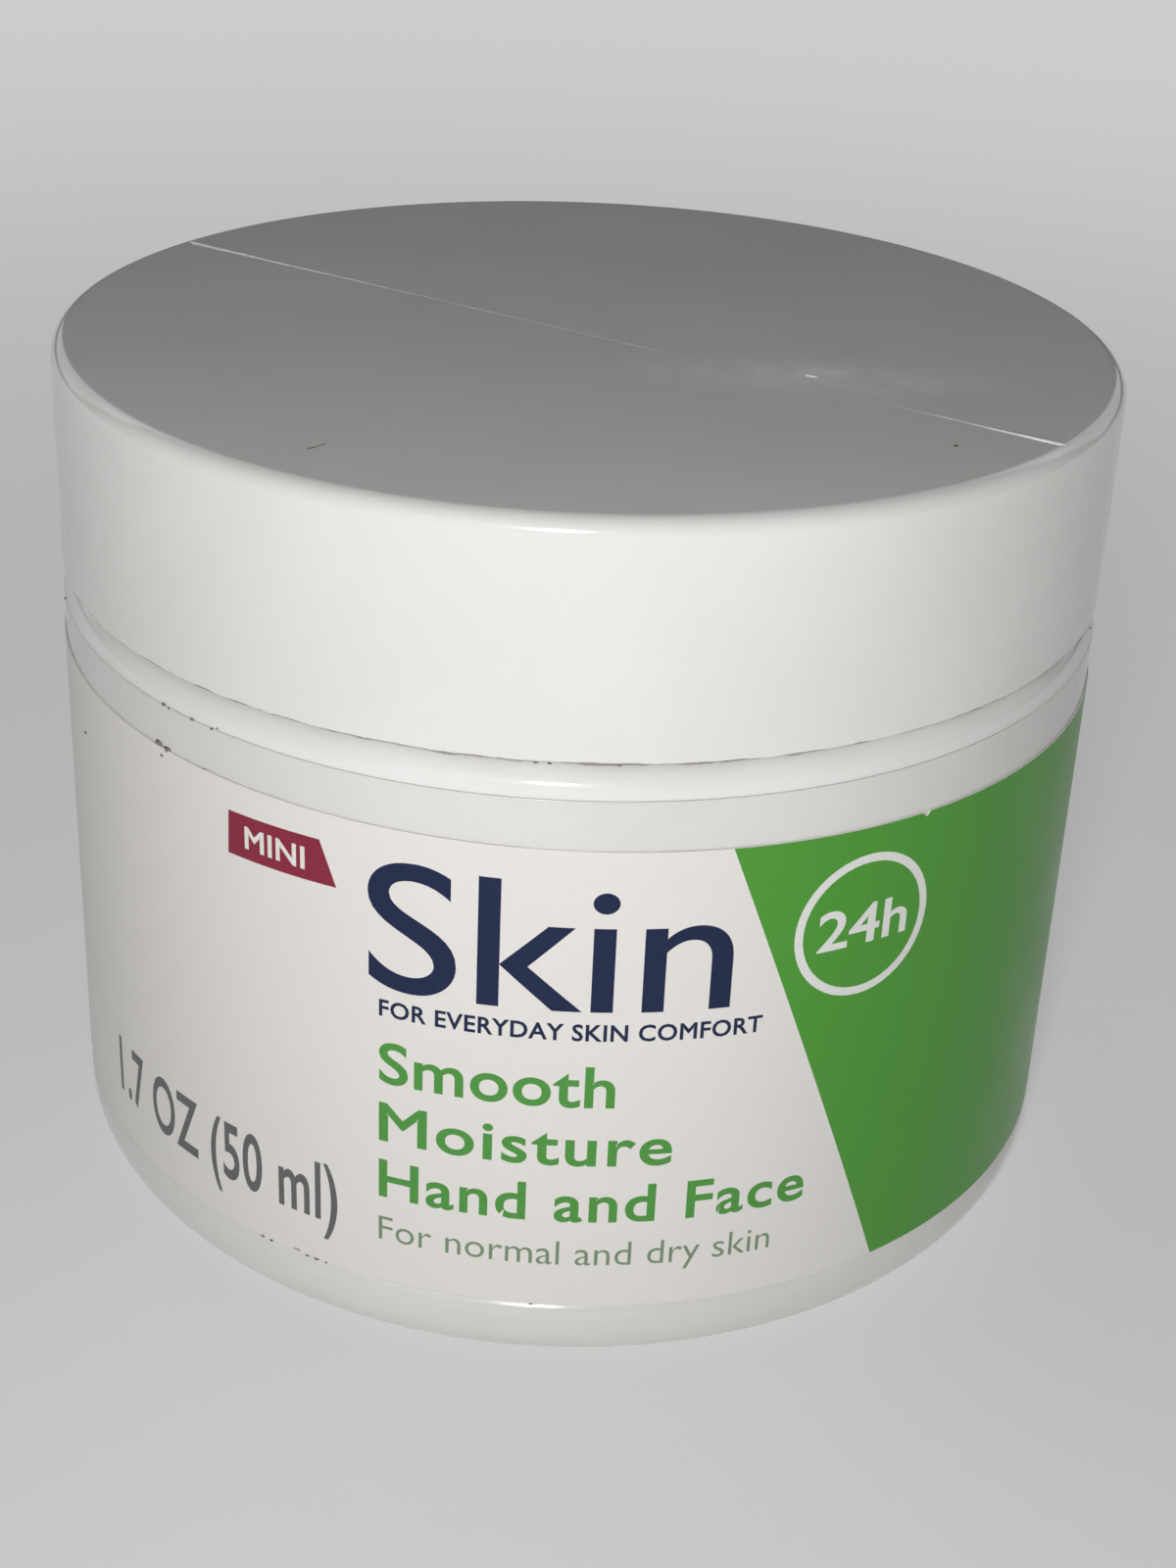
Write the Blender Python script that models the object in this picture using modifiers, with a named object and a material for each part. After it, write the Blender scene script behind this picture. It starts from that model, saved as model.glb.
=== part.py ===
"""Double-wall cosmetic cream jar with a screw lid.

An outer shell carries the wrap label. An inner cup, with the threaded neck and a round
shoulder flange, plugs into the shell and holds the balm. The lid is an overcap pressed over
a threaded inner cap, with a loose wad inside that seals on the cup's rim.

Metres, +Z up. The origin is the centre of the base, where the jar stands.
"""

import math

import bmesh
import bpy
from mathutils import Matrix

MM = 0.001

# Overall sizes
BODY_RADIUS = 31.0 * MM
BODY_HEIGHT = 38.3 * MM  # base to the top of the shoulder flange
LID_HEIGHT = 12.85 * MM

# Clearances
SEAT_GAP = 0.3 * MM  # between pieces that rest or press on each other
SEAM_GAP = 0.35 * MM  # between the shoulder and the closed lid
THREAD_FIT = 0.4 * MM  # radial, between a thread's crest and the wall it runs on
THREAD_PLAY = 0.35 * MM  # axial, between the two threads

# Outer shell
SHELL_WALL = 1.9 * MM
BASE_THICKNESS = 2.0 * MM
BASE_FILLET = 3.6 * MM
BASE_INNER_FILLET = 2.4 * MM
FOOT_WIDTH = 2.8 * MM
FOOT_RECESS = 0.6 * MM

# Wrap label
LABEL_THICKNESS = 0.15 * MM
LABEL_PROUD = 0.05 * MM
LABEL_TOP_MARGIN = 2.1 * MM  # bare shell above the label
LABEL_BOTTOM_MARGIN = 4.95 * MM  # base to the label
LABEL_GAP_SEGMENTS = 1  # facets left open where the label's ends meet at the back

# Inner cup
SHOULDER_HEIGHT = 2.1 * MM
SHOULDER_FILLET = 1.5 * MM
SHOULDER_THICKNESS = 1.7 * MM
PLUG_LENGTH = 3.2 * MM
PLUG_WALL = 1.4 * MM
CUP_DEPTH = 32.0 * MM
CUP_WALL = 1.6 * MM
CUP_FILLET = 7.0 * MM
NECK_WALL = 2.0 * MM
RIM_FILLET = 0.5 * MM

# Threads
THREAD_LEAD = 4.0 * MM
THREAD_HEIGHT = 1.0 * MM
THREAD_ROOT_WIDTH = 1.8 * MM
THREAD_CREST_WIDTH = 0.8 * MM
THREAD_MARGIN = 0.4 * MM  # plain wall left at each end of a thread
THREAD_FADE = math.radians(24)  # run-in at each end of a thread

# Balm
HEADSPACE = 7.4 * MM  # rim to the balm's surface
BALM_DIP = 0.5 * MM

# Lid
LID_SET_IN = 0.1 * MM  # the lid's side lies this far inside the body's
LID_WALL = 2.0 * MM
LID_TOP_THICKNESS = 1.6 * MM
LID_TOP_FILLET = 0.95 * MM
LID_EDGE_CHAMFER = 0.15 * MM
CAP_FIT = 0.4 * MM  # radial, between the overcap and the inner cap
CAP_WALL = 1.5 * MM
CAP_TOP_THICKNESS = 1.3 * MM
CAP_INSET = 0.5 * MM  # the inner cap ends this far above the overcap's edge
CAP_CORNER = 0.6 * MM
SNAP_DEPTH = 0.5 * MM
SNAP_WIDTH = 1.2 * MM
SNAP_BELOW_TOP = 3.6 * MM  # the overcap's inside top to the middle of the snap ring
RIB_COUNT = 8
RIB_WIDTH = 1.2 * MM
RIB_DEPTH = 0.8 * MM
RIB_LENGTH = 3.0 * MM

# Wad
WAD_THICKNESS = 1.2 * MM
WAD_BEAD_DEPTH = 0.6 * MM  # the inner cap's bead that keeps the wad in
WAD_BEAD_WIDTH = 0.6 * MM

# Facets
SEGMENTS = 64
ARC_STEPS = 4
BOND = 0.5 * MM  # how deep a joined rib or thread reaches into its wall
OVERSHOOT = 2.0 * MM  # how far a cutter stands clear of what it cuts

# Radii, from the outside in
lid_radius = BODY_RADIUS - LID_SET_IN
lid_bore = lid_radius - LID_WALL
cap_radius = lid_bore - CAP_FIT
cap_bore = cap_radius - CAP_WALL
neck_radius = cap_bore - THREAD_FIT - THREAD_HEIGHT
cup_bore = neck_radius - NECK_WALL
cup_radius = cup_bore + CUP_WALL
shell_bore = BODY_RADIUS - SHELL_WALL
plug_radius = shell_bore - SEAT_GAP
wad_radius = cap_bore - SEAT_GAP

# Heights, from the base up
parting_z = BODY_HEIGHT - SHOULDER_HEIGHT
shell_rim_z = parting_z - SEAT_GAP
label_top_z = shell_rim_z - LABEL_TOP_MARGIN
label_bottom_z = LABEL_BOTTOM_MARGIN
lid_bottom_z = BODY_HEIGHT + SEAM_GAP
lid_top_z = lid_bottom_z + LID_HEIGHT
lid_under_z = lid_top_z - LID_TOP_THICKNESS
cap_top_z = lid_under_z - SEAT_GAP
cap_under_z = cap_top_z - CAP_TOP_THICKNESS
cap_bottom_z = lid_bottom_z + CAP_INSET
wad_top_z = cap_under_z - SEAT_GAP
wad_bottom_z = wad_top_z - WAD_THICKNESS
wad_bead_z = wad_bottom_z - SEAT_GAP
rim_z = wad_bottom_z - SEAT_GAP
cup_floor_z = rim_z - CUP_DEPTH
snap_z = lid_under_z - SNAP_BELOW_TOP


def clear_scene():
    for thing in list(bpy.data.objects):
        bpy.data.objects.remove(thing, do_unlink=True)


def make_collection(name):
    collection = bpy.data.collections.new(name)
    bpy.context.scene.collection.children.link(collection)
    return collection


def make_material(name, color, roughness):
    material = bpy.data.materials.new(name)
    material.use_nodes = True
    shader = material.node_tree.nodes["Principled BSDF"]
    shader.inputs["Base Color"].default_value = (*color, 1.0)
    shader.inputs["Roughness"].default_value = roughness
    shader.inputs["Metallic"].default_value = 0.0
    material.diffuse_color = (*color, 1.0)
    return material


def arc(center_r, center_z, radius, start_deg, end_deg):
    """Points of a round corner in the (r, z) plane of a turned profile."""
    points = []
    for i in range(ARC_STEPS + 1):
        angle = math.radians(start_deg + (end_deg - start_deg) * i / ARC_STEPS)
        points.append((center_r + radius * math.cos(angle), center_z + radius * math.sin(angle)))
    return points


def profile_object(name, points, collection):
    """A chain of edges in the XZ plane, ready to be turned about Z."""
    mesh = bpy.data.meshes.new(name)
    edges = [(i, i + 1) for i in range(len(points) - 1)]
    mesh.from_pydata([(r, 0.0, z) for r, z in points], edges, [])
    piece = bpy.data.objects.new(name, mesh)
    collection.objects.link(piece)
    return piece


def turn(piece, angle=math.tau, steps=SEGMENTS):
    screw = piece.modifiers.new("turn", "SCREW")
    screw.axis = "Z"
    screw.angle = angle
    screw.steps = steps
    screw.render_steps = steps
    screw.use_merge_vertices = angle == math.tau
    screw.merge_threshold = 0.00001
    screw.use_smooth_shade = True
    return screw


def turned_piece(name, points, material, collection):
    """A solid of revolution. The points run down its outer side."""
    piece = profile_object(name, points, collection)
    piece.data.materials.append(material)
    turn(piece)
    return piece


def combine(piece, other, operation):
    boolean = piece.modifiers.new(other.name, "BOOLEAN")
    boolean.operation = operation
    boolean.solver = "EXACT"
    boolean.object = other


def tool_object(name, mesh, collection):
    """A shape that only cuts or joins another."""
    tool = bpy.data.objects.new(name, mesh)
    tool.display_type = "WIRE"
    tool.hide_render = True
    collection.objects.link(tool)
    return tool


def thread_section(angle, wall_radius, side, height, z):
    """The four corners of a thread's section: side is 1 outside a neck, -1 inside a cap."""
    root = wall_radius - side * BOND
    crest = wall_radius + side * height
    flank = (THREAD_ROOT_WIDTH - THREAD_CREST_WIDTH) / 2 * height / THREAD_HEIGHT
    root_half = THREAD_ROOT_WIDTH / 2
    crest_half = root_half - flank
    corners = [(root, z - root_half), (crest, z - crest_half), (crest, z + crest_half), (root, z + root_half)]
    return [(r * math.cos(angle), r * math.sin(angle), height_z) for r, height_z in corners]


def thread_ridge(name, wall_radius, side, low_z, high_z, drop, collection):
    """A helical ridge between two heights, rising THREAD_LEAD a turn, drop below the common helix."""
    first = (low_z - thread_origin_z + drop) / THREAD_LEAD * math.tau
    sweep = (high_z - low_z) / THREAD_LEAD * math.tau
    count = max(8, round(sweep / math.tau * SEGMENTS))
    mesh_builder = bmesh.new()
    rings = []
    for i in range(count + 1):
        along = sweep * i / count
        fade = min(1.0, min(along, sweep - along) / THREAD_FADE)
        height = THREAD_HEIGHT * (0.1 + 0.9 * fade)
        z = low_z + THREAD_LEAD * along / math.tau
        section = thread_section(first + along, wall_radius, side, height, z)
        rings.append([mesh_builder.verts.new(corner) for corner in section])
    for ring, following in zip(rings, rings[1:]):
        for i in range(4):
            j = (i + 1) % 4
            mesh_builder.faces.new((ring[i], ring[j], following[j], following[i]))
    mesh_builder.faces.new(rings[0])
    mesh_builder.faces.new(rings[-1])
    bmesh.ops.recalc_face_normals(mesh_builder, faces=mesh_builder.faces)
    mesh = bpy.data.meshes.new(name)
    mesh_builder.to_mesh(mesh)
    mesh_builder.free()
    return tool_object(name, mesh, collection)


def rib_ring(name, inner_radius, outer_radius, width, low_z, high_z, collection):
    """Upright bars on a ring, as one tool."""
    mesh_builder = bmesh.new()
    size = Matrix.Diagonal((outer_radius - inner_radius, width, high_z - low_z, 1.0))
    middle = Matrix.Translation(((inner_radius + outer_radius) / 2, 0.0, (low_z + high_z) / 2))
    for i in range(RIB_COUNT):
        turn_to = Matrix.Rotation(math.tau * (i + 0.5) / RIB_COUNT, 4, "Z")
        bmesh.ops.create_cube(mesh_builder, size=1.0, matrix=turn_to @ middle @ size)
    mesh = bpy.data.meshes.new(name)
    mesh_builder.to_mesh(mesh)
    mesh_builder.free()
    return tool_object(name, mesh, collection)


# The common helix passes through this height at angle 0 on the neck's thread.
thread_origin_z = BODY_HEIGHT + THREAD_MARGIN + THREAD_ROOT_WIDTH / 2
thread_drop = (THREAD_ROOT_WIDTH + THREAD_CREST_WIDTH) / 2 + THREAD_PLAY


def make_outer_shell(material, collection):
    panel_radius = BODY_RADIUS + LABEL_PROUD - LABEL_THICKNESS - SEAT_GAP
    panel_top = label_top_z + SEAT_GAP
    panel_bottom = label_bottom_z - SEAT_GAP
    foot_outer = BODY_RADIUS - BASE_FILLET
    foot_inner = foot_outer - FOOT_WIDTH
    points = [(0.0, BASE_THICKNESS)]
    points += arc(shell_bore - BASE_INNER_FILLET, BASE_THICKNESS + BASE_INNER_FILLET, BASE_INNER_FILLET, -90, 0)
    points += [
        (shell_bore, shell_rim_z),
        (BODY_RADIUS, shell_rim_z),
        (BODY_RADIUS, panel_top),
        (panel_radius, panel_top),
        (panel_radius, panel_bottom),
        (BODY_RADIUS, panel_bottom),
    ]
    points += arc(foot_outer, BASE_FILLET, BASE_FILLET, 0, -90)
    points += [
        (foot_inner, 0.0),
        (foot_inner - FOOT_RECESS, FOOT_RECESS),
        (0.0, FOOT_RECESS),
    ]
    return turned_piece("outer_shell", points, material, collection)


def make_label(material, collection):
    """A strip of film round the shell, with its ends just short of each other at the back."""
    inner_radius = BODY_RADIUS + LABEL_PROUD - LABEL_THICKNESS
    label = profile_object("label", [(inner_radius, label_top_z), (inner_radius, label_bottom_z)], collection)
    label.data.materials.append(material)
    steps = SEGMENTS - LABEL_GAP_SEGMENTS
    turn(label, math.tau * steps / SEGMENTS, steps)
    solidify = label.modifiers.new("film", "SOLIDIFY")
    solidify.thickness = LABEL_THICKNESS
    solidify.offset = 1.0
    label.rotation_euler.z = math.pi / 2
    return label


def make_inner_cup(material, collection, tools):
    flange_under = BODY_HEIGHT - SHOULDER_THICKNESS
    cup_bottom = cup_floor_z - CUP_WALL
    outer_fillet = CUP_FILLET + CUP_WALL
    shoulder_inner = BODY_RADIUS - SHOULDER_FILLET
    points = [(0.0, cup_floor_z)]
    points += arc(cup_bore - CUP_FILLET, cup_floor_z + CUP_FILLET, CUP_FILLET, -90, 0)
    points += arc(cup_bore + RIM_FILLET, rim_z - RIM_FILLET, RIM_FILLET, 180, 90)
    points += arc(neck_radius - RIM_FILLET, rim_z - RIM_FILLET, RIM_FILLET, 90, 0)
    points += [(neck_radius, BODY_HEIGHT)]
    points += arc(shoulder_inner, BODY_HEIGHT - SHOULDER_FILLET, SHOULDER_FILLET, 90, 0)
    points += [
        (BODY_RADIUS, parting_z),
        (plug_radius, parting_z),
        (plug_radius, parting_z - PLUG_LENGTH),
        (plug_radius - PLUG_WALL, parting_z - PLUG_LENGTH),
        (plug_radius - PLUG_WALL, flange_under),
        (cup_radius, flange_under),
    ]
    points += arc(cup_radius - outer_fillet, cup_bottom + outer_fillet, outer_fillet, 0, -90)
    points += [(0.0, cup_bottom)]
    cup = turned_piece("inner_cup", points, material, collection)
    half = THREAD_ROOT_WIDTH / 2
    top_of_thread = rim_z - THREAD_MARGIN - half
    thread = thread_ridge("neck_thread", neck_radius, 1, thread_origin_z, top_of_thread, 0.0, tools)
    combine(cup, thread, "UNION")
    return cup


def make_balm(material, collection):
    radius = cup_bore - SEAT_GAP
    bottom = cup_floor_z + SEAT_GAP
    fillet = CUP_FILLET - SEAT_GAP
    surface_z = rim_z - HEADSPACE
    points = [(0.0, surface_z - BALM_DIP), (radius * 0.6, surface_z - BALM_DIP), (radius, surface_z)]
    points += arc(radius - fillet, bottom + fillet, fillet, 0, -90)
    points += [(0.0, bottom)]
    return turned_piece("balm", points, material, collection)


def snap_ring(wall_radius, depth):
    """A shallow ridge or groove on the side of the lid's two pieces, as profile points going down."""
    tip = wall_radius - depth
    return [
        (wall_radius, snap_z + SNAP_WIDTH / 2),
        (tip, snap_z + SNAP_WIDTH / 6),
        (tip, snap_z - SNAP_WIDTH / 6),
        (wall_radius, snap_z - SNAP_WIDTH / 2),
    ]


def make_lid_shell(material, collection, tools):
    fillet_r = lid_radius - LID_TOP_FILLET
    points = [(0.0, lid_top_z)]
    points += arc(fillet_r, lid_top_z - LID_TOP_FILLET, LID_TOP_FILLET, 90, 0)
    points += [
        (lid_radius, lid_bottom_z + LID_EDGE_CHAMFER),
        (lid_radius - LID_EDGE_CHAMFER, lid_bottom_z),
        (lid_bore, lid_bottom_z),
    ]
    points += reversed(snap_ring(lid_bore, SNAP_DEPTH))
    points += [(lid_bore, lid_under_z), (0.0, lid_under_z)]
    lid = turned_piece("lid_shell", points, material, collection)
    ribs = rib_ring(
        "drive_ribs",
        lid_bore - RIB_DEPTH,
        lid_bore + BOND,
        RIB_WIDTH,
        lid_under_z - RIB_LENGTH,
        lid_under_z + BOND,
        tools,
    )
    combine(lid, ribs, "UNION")
    return lid


def make_inner_cap(material, collection, tools):
    corner_r = cap_radius - CAP_CORNER
    bead_top = wad_bead_z
    bead_bottom = wad_bead_z - WAD_BEAD_WIDTH
    points = [(0.0, cap_top_z)]
    points += arc(corner_r, cap_top_z - CAP_CORNER, CAP_CORNER, 90, 0)
    points += snap_ring(cap_radius, SNAP_DEPTH)
    points += [
        (cap_radius, cap_bottom_z),
        (cap_bore, cap_bottom_z),
        (cap_bore, bead_bottom),
        (cap_bore - WAD_BEAD_DEPTH, (bead_bottom + bead_top) / 2),
        (cap_bore, bead_top),
        (cap_bore, cap_under_z),
        (0.0, cap_under_z),
    ]
    cap = turned_piece("inner_cap", points, material, collection)
    half = THREAD_ROOT_WIDTH / 2
    low = cap_bottom_z + THREAD_MARGIN / 2 + half
    high = bead_bottom - THREAD_MARGIN / 2 - half
    thread = thread_ridge("cap_thread", cap_bore, -1, low, high, thread_drop, tools)
    combine(cap, thread, "UNION")
    notches = rib_ring(
        "drive_notches",
        lid_bore - RIB_DEPTH - SEAT_GAP,
        cap_radius + OVERSHOOT,
        RIB_WIDTH + 2 * SEAT_GAP,
        lid_under_z - RIB_LENGTH - SEAT_GAP,
        cap_top_z + OVERSHOOT,
        tools,
    )
    combine(cap, notches, "DIFFERENCE")
    return cap


def make_wad(material, collection):
    points = [(0.0, wad_top_z), (wad_radius, wad_top_z), (wad_radius, wad_bottom_z), (0.0, wad_bottom_z)]
    return turned_piece("lid_liner", points, material, collection)


def carry(pieces, name, z, collection):
    """Hang pieces from an empty on the joint's axis without moving them."""
    carrier = bpy.data.objects.new(name, None)
    carrier.location.z = z
    collection.objects.link(carrier)
    bpy.context.view_layer.update()
    for piece in pieces:
        piece.parent = carrier
        piece.matrix_parent_inverse = carrier.matrix_world.inverted()


def main():
    clear_scene()
    jar = make_collection("cream_jar")
    tools = make_collection("cutters_and_threads")

    white_gloss = make_material("white_gloss_plastic", (0.82, 0.81, 0.78), 0.18)
    white_plain = make_material("white_cup_plastic", (0.84, 0.83, 0.81), 0.3)
    cap_white = make_material("inner_cap_plastic", (0.78, 0.78, 0.76), 0.45)
    label_film = make_material("label_film", (0.80, 0.78, 0.75), 0.42)
    foam = make_material("foam_wad", (0.90, 0.90, 0.88), 0.8)
    balm_wax = make_material("balm_wax", (0.86, 0.80, 0.66), 0.4)

    make_outer_shell(white_gloss, jar)
    make_label(label_film, jar)
    make_inner_cup(white_plain, jar, tools)
    make_balm(balm_wax, jar)
    lid_shell = make_lid_shell(white_gloss, jar, tools)
    inner_cap = make_inner_cap(cap_white, jar, tools)
    lid_liner = make_wad(foam, jar)
    carry([lid_shell, inner_cap, lid_liner], "lid_axis", lid_bottom_z, jar)


main()
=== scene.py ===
"""Looks of the double-wall cream jar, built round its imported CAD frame.

Each visible moulding is turned again at a fine pitch from the frame's own sizes, the label is
printed as coloured faces of one thin film, and every surface has a node material. Sizes in the
constants below are millimetres; meshes are in metres, as the frame is.
"""

import math

import bmesh
import bpy
import numpy as np
from mathutils import Matrix, Vector
from mathutils.geometry import delaunay_2d_cdt


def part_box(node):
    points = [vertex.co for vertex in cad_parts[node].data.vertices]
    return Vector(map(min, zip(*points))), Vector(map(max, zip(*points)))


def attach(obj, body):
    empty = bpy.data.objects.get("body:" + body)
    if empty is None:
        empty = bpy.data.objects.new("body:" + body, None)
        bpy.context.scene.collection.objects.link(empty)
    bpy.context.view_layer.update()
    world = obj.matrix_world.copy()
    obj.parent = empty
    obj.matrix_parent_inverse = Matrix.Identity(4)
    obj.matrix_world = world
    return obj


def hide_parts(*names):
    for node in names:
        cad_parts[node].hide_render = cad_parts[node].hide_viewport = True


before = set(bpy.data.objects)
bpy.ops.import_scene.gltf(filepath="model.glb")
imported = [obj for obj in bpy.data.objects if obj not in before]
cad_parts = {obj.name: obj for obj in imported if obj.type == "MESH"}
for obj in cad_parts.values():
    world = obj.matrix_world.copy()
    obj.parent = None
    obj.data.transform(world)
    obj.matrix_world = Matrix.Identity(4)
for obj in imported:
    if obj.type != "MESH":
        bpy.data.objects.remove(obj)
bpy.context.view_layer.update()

MM = 0.001
AROUND = 256  # columns round a turned piece
ROUND_STEP = math.radians(11)  # facets of a rounded corner
ROW_STEP = 0.16 * MM  # rows up a threaded wall

# Sizes read from the frame
cup_low, cup_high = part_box("inner_cup")
label_low, label_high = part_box("label")
lid_low, lid_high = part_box("lid_shell")
cap_low, cap_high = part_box("inner_cap")
wad_low, wad_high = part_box("lid_liner")
balm_low, balm_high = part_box("balm")

# Sizes that the boxes don't show, in metres. The shoulder, the parting line and the foot are finer
# here than in the solids.
BODY_GAP = 0.07 * MM  # step from the label's face to the shell's
LABEL_THICKNESS = 0.11 * MM
LABEL_TILT = 0.6  # degrees: the label was wound on slightly askew
SEAM_GAP = 0.35 * MM
SHOULDER_HEIGHT = 1.7 * MM
SHOULDER_FILLET = 1.62 * MM
SHOULDER_THICKNESS = 1.7 * MM
SHOULDER_SET_IN = 0.05 * MM  # the shell's top edge stands proud of the shoulder
PARTING_GAP = 0.02 * MM  # the fine line between the shoulder and the shell
EDGE_FILLET = 0.05 * MM
PLUG_LENGTH = 3.2 * MM
PLUG_WALL = 1.4 * MM
PLUG_FIT = 0.2 * MM
PLUG_CORNER = 0.2 * MM
SHELL_WALL = 1.9 * MM
BASE_THICKNESS = 2.0 * MM
BASE_FILLET = 3.6 * MM
BASE_CORNER = 2.4 * MM  # inside the shell
FOOT_WIDTH = 2.8 * MM
FOOT_RECESS = 0.6 * MM
FOOT_PROUD = 0.1 * MM  # step from the label panel out to the foot
FOOT_BEAD = 0.99 * MM  # radius of the bead under the label
GROOVE_DEPTH = 0.2 * MM  # between the label and the foot's bead
NECK_WALL = 2.0 * MM
CUP_WALL = 1.6 * MM
CUP_FILLET = 7.0 * MM
RIM_FILLET = 0.6 * MM
THREAD_LEAD = 4.0 * MM
THREAD_HEIGHT = 1.0 * MM
THREAD_ROOT_WIDTH = 1.8 * MM
THREAD_CREST_WIDTH = 0.8 * MM
THREAD_PLAY = 0.35 * MM
THREAD_FIT = 0.4 * MM
THREAD_MARGIN = 0.4 * MM
LID_WALL = 2.0 * MM
LID_TOP_THICKNESS = 1.6 * MM
LID_TOP_FILLET = 0.95 * MM
CAP_WALL = 1.5 * MM
CAP_TOP_THICKNESS = 1.3 * MM
BALM_DIP = 0.5 * MM
MENISCUS_WIDTH = 1.6 * MM
MENISCUS_HEIGHT = 0.7 * MM
SWIRL_STEP = 5.5 * MM
SWIRL_HEIGHT = 0.14 * MM
CAP_BEAD = 0.6 * MM  # holds the wad in the inner cap
CAP_BEAD_GAP = 0.3 * MM
WAD_IMPRINT = 0.12 * MM

body_radius = label_high.x - BODY_GAP - 0.05 * MM
body_top_z = lid_low.z - SEAM_GAP
parting_z = body_top_z - SHOULDER_HEIGHT
rim_z = cup_high.z
lid_radius = lid_high.x
lid_bore = lid_radius - LID_WALL
cap_radius = cap_high.x
cap_bore = cap_radius - CAP_WALL
neck_radius = cap_bore - THREAD_FIT - THREAD_HEIGHT
cup_bore = neck_radius - NECK_WALL


# ---------------------------------------------------------------- mesh tools

def rounded(corners):
    """A profile from corners (r, z) or (r, z, radius), with the radii as arcs."""
    points = []
    for i, corner in enumerate(corners):
        here = Vector(corner[:2])
        radius = corner[2] if len(corner) > 2 else 0.0
        if radius == 0.0 or i in (0, len(corners) - 1):
            points.append(here)
            continue
        back = (Vector(corners[i - 1][:2]) - here).normalized()
        ahead = (Vector(corners[i + 1][:2]) - here).normalized()
        half = back.angle(ahead) / 2
        start = here + back * (radius / math.tan(half))
        center = here + (back + ahead).normalized() * (radius / math.sin(half))
        sweep = math.pi - 2 * half
        count = max(2, math.ceil(sweep / ROUND_STEP))
        spoke = start - center
        sign = 1 if back.x * ahead.y - back.y * ahead.x < 0 else -1
        for j in range(count + 1):
            points.append(center + Matrix.Rotation(sign * sweep * j / count, 2) @ spoke)
    return points


def new_piece(name, vertices, faces, material, body):
    mesh = bpy.data.meshes.new(name)
    mesh.from_pydata([tuple(v) for v in vertices], [], faces)
    mesh.validate()
    mesh.update()
    piece = bpy.data.objects.new(name, mesh)
    bpy.context.scene.collection.objects.link(piece)
    if material:
        mesh.materials.append(material)
    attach(piece, body)
    return piece


def smooth(piece, sharp_deg=40):
    """Smooth shading that keeps long flats flat and hard edges hard."""
    piece.data.shade_smooth()
    piece.data.set_sharp_from_angle(angle=math.radians(sharp_deg))
    weighted = piece.modifiers.new("flat faces stay flat", "WEIGHTED_NORMAL")
    weighted.weight = 80
    weighted.keep_sharp = True


def lathe(name, profile, material, body, offset=None):
    """Turns a profile, which runs down its outer side, about Z. offset(angle, r, z) shifts r."""
    vertices = []
    rings = []
    for r, z in profile:
        if r < 1e-7:
            rings.append([len(vertices)])
            vertices.append((0.0, 0.0, z))
            continue
        rings.append(list(range(len(vertices), len(vertices) + AROUND)))
        for i in range(AROUND):
            angle = math.tau * i / AROUND
            reach = r + (offset(angle, r, z) if offset else 0.0)
            vertices.append((reach * math.cos(angle), reach * math.sin(angle), z))
    faces = []
    for upper, lower in zip(rings, rings[1:]):
        for i in range(AROUND):
            j = (i + 1) % AROUND
            if len(upper) == 1:
                faces.append((upper[0], lower[i], lower[j]))
            elif len(lower) == 1:
                faces.append((upper[i], lower[0], upper[j]))
            else:
                faces.append((upper[i], lower[i], lower[j], upper[j]))
    piece = new_piece(name, vertices, faces, material, body)
    smooth(piece)
    return piece


def dense(low_z, high_z, radius, step):
    """Points up a straight wall, close enough together to carry a thread."""
    count = max(2, round(abs(high_z - low_z) / step))
    return [Vector((radius, low_z + (high_z - low_z) * i / count)) for i in range(count + 1)]


# ---------------------------------------------------------------- materials

def new_material(name):
    material = bpy.data.materials.new(name)
    material.use_nodes = True
    tree = material.node_tree
    return material, tree, tree.nodes["Principled BSDF"]


def coordinates(tree, stretch=(1, 1, 1)):
    """Object coordinates in millimetres, so that texture scales read as features per millimetre."""
    source = tree.nodes.new("ShaderNodeTexCoord")
    mapping = tree.nodes.new("ShaderNodeMapping")
    mapping.inputs["Scale"].default_value = [s / MM for s in stretch]
    tree.links.new(source.outputs["Object"], mapping.inputs["Vector"])
    return mapping.outputs["Vector"]


def noise(tree, per_mm, detail=3.0, stretch=(1, 1, 1), roughness=0.55):
    node = tree.nodes.new("ShaderNodeTexNoise")
    node.inputs["Scale"].default_value = per_mm
    node.inputs["Detail"].default_value = detail
    node.inputs["Roughness"].default_value = roughness
    tree.links.new(coordinates(tree, stretch), node.inputs["Vector"])
    return node.outputs["Fac"]


def remap(tree, value, low, high, to_low, to_high):
    node = tree.nodes.new("ShaderNodeMapRange")
    node.interpolation_type = "SMOOTHSTEP"
    node.inputs["From Min"].default_value = low
    node.inputs["From Max"].default_value = high
    node.inputs["To Min"].default_value = to_low
    node.inputs["To Max"].default_value = to_high
    tree.links.new(value, node.inputs["Value"])
    return node.outputs["Result"]


def blend_colors(tree, factor, first, second):
    node = tree.nodes.new("ShaderNodeMix")
    node.data_type = "RGBA"
    for socket, color in ((node.inputs["A"], first), (node.inputs["B"], second)):
        if isinstance(color, tuple):
            socket.default_value = (*color, 1.0)
        else:
            tree.links.new(color, socket)
    tree.links.new(factor, node.inputs["Factor"])
    return node.outputs["Result"]


def math_node(tree, operation, first, second):
    node = tree.nodes.new("ShaderNodeMath")
    node.operation = operation
    for socket, value in zip(node.inputs, (first, second)):
        if isinstance(value, (int, float)):
            socket.default_value = value
        else:
            tree.links.new(value, socket)
    return node.outputs["Value"]


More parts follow.
